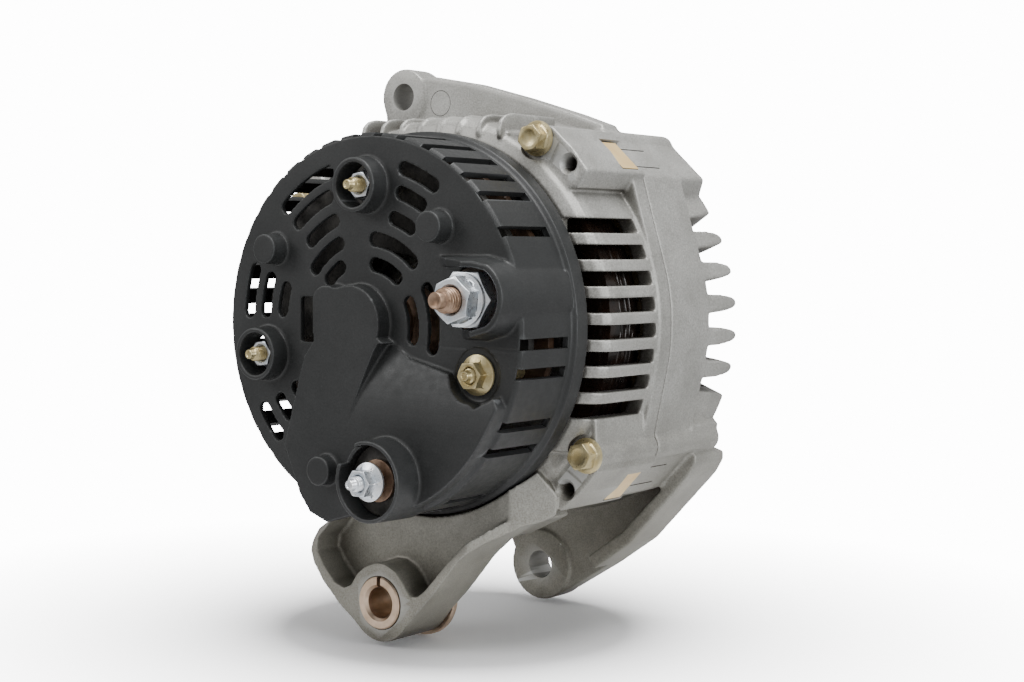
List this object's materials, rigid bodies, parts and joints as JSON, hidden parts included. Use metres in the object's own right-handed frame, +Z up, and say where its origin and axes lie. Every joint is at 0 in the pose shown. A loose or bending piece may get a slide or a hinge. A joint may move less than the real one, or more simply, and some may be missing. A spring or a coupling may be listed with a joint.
{
  "type": "car alternator",
  "caption": "Claw-pole car alternator with a slotted plastic rear cover, cast housing halves, mounting lugs, a wound stator, a fan-cooled rotor on ball bearings and a grooved belt pulley.",
  "frame": {"origin": "on the pivot bolt's axis, in the plane of the front lower lug's pad", "axes": "+Y along the shaft from the rear cover to the pulley, +Z up from the pivot towards the top lug, +X to the right for someone who looks at the rear cover"},
  "size_m": [0.1426, 0.1825, 0.1996],
  "materials": {
    "black_plastic": "fine grained moulding",
    "cast_aluminium": "as cast, dull",
    "steel": "machined and pressed steel",
    "lamination": "varnished steel sheets",
    "copper_wire": "enamelled and varnished",
    "yellow_zinc": "yellow chromated zinc",
    "white_zinc": "bright zinc",
    "copper": "copper, dulled",
    "resin": "brown moulded resin",
    "carbon": "pressed carbon",
    "bronze": "plain"
  },
  "bodies": {
    "housing": {"rear_cover": "black_plastic", "rear_frame": "cast_aluminium", "front_frame": "cast_aluminium", "stator_core": "lamination", "stator_winding": "copper_wire", "through_bolt_1": "yellow_zinc", "through_bolt_2": "yellow_zinc", "through_bolt_3": "yellow_zinc", "through_bolt_4": "yellow_zinc", "cover_stud_1": "yellow_zinc", "cover_stud_2": "yellow_zinc", "cover_nut_1": "white_zinc", "cover_nut_2": "white_zinc", "b_plus_stud": "copper", "b_plus_base_nut": "white_zinc", "b_plus_nut": "white_zinc", "b_plus_insulator": "resin", "d_plus_stud": "yellow_zinc", "d_plus_nut": "yellow_zinc", "phase_stud": "white_zinc", "phase_nut": "white_zinc", "phase_washer": "bronze", "rectifier_plate_positive": "cast_aluminium", "rectifier_plate_negative": "cast_aluminium", "rectifier_terminal_board": "resin", "diode_1": "steel", "diode_2": "steel", "diode_3": "steel", "diode_4": "steel", "diode_5": "steel", "diode_6": "steel", "regulator": "cast_aluminium", "brush_holder": "black_plastic", "brush_spring_outer": "steel", "brush_spring_inner": "steel", "rear_bearing_outer_race": "steel", "front_bearing_outer_race": "steel", "front_bearing_retainer": "steel"},
    "rotor": {"shaft": "steel", "claw_pole_rear": "steel", "claw_pole_front": "steel", "coil_bobbin": "resin", "field_coil": "copper_wire", "fan_rear": "steel", "fan_front": "steel", "slip_ring_hub": "resin", "slip_ring_outer": "copper", "slip_ring_inner": "copper", "pulley": "steel", "pulley_spacer": "steel", "pulley_nut": "steel", "rear_bearing_inner_race": "steel", "front_bearing_inner_race": "steel"},
    "rear_ball_cage": {"rear_bearing_ball_cage": "steel"},
    "front_ball_cage": {"front_bearing_ball_cage": "steel"},
    "outer_brush": {"brush_outer": "carbon"},
    "inner_brush": {"brush_inner": "carbon"},
    "split_bush": {"pivot_bush": "bronze"}
  },
  "joints": [
    {"name": "rotor_spin", "type": "hinge", "parent": "housing", "child": "rotor", "pos_m": [0.0073, -0.025, 0.0936], "axis": [0, 1, 0], "continuous": true},
    {"name": "rear_cage_spin", "type": "hinge", "parent": "housing", "child": "rear_ball_cage", "pos_m": [0.0073, -0.025, 0.0936], "axis": [0, 1, 0], "continuous": true},
    {"name": "front_cage_spin", "type": "hinge", "parent": "housing", "child": "front_ball_cage", "pos_m": [0.0073, -0.025, 0.0936], "axis": [0, 1, 0], "continuous": true},
    {"name": "outer_brush_slide", "type": "slide", "parent": "housing", "child": "outer_brush", "axis": [0, 0, -1], "range_m": [0, 0.004], "stiffness_N_per_m": 300, "springref_m": -0.01, "deforming": ["brush_spring_outer"]},
    {"name": "inner_brush_slide", "type": "slide", "parent": "housing", "child": "inner_brush", "axis": [0, 0, -1], "range_m": [0, 0.004], "stiffness_N_per_m": 300, "springref_m": -0.01, "deforming": ["brush_spring_inner"]},
    {"name": "bush_slide", "type": "slide", "parent": "housing", "child": "split_bush", "axis": [0, 1, 0], "range_m": [0, 0.003]}
  ],
  "couplings": [
    {"joint": "rear_cage_spin", "follows": "rotor_spin", "ratio": 0.425},
    {"joint": "front_cage_spin", "follows": "rotor_spin", "ratio": 0.415}
  ]
}
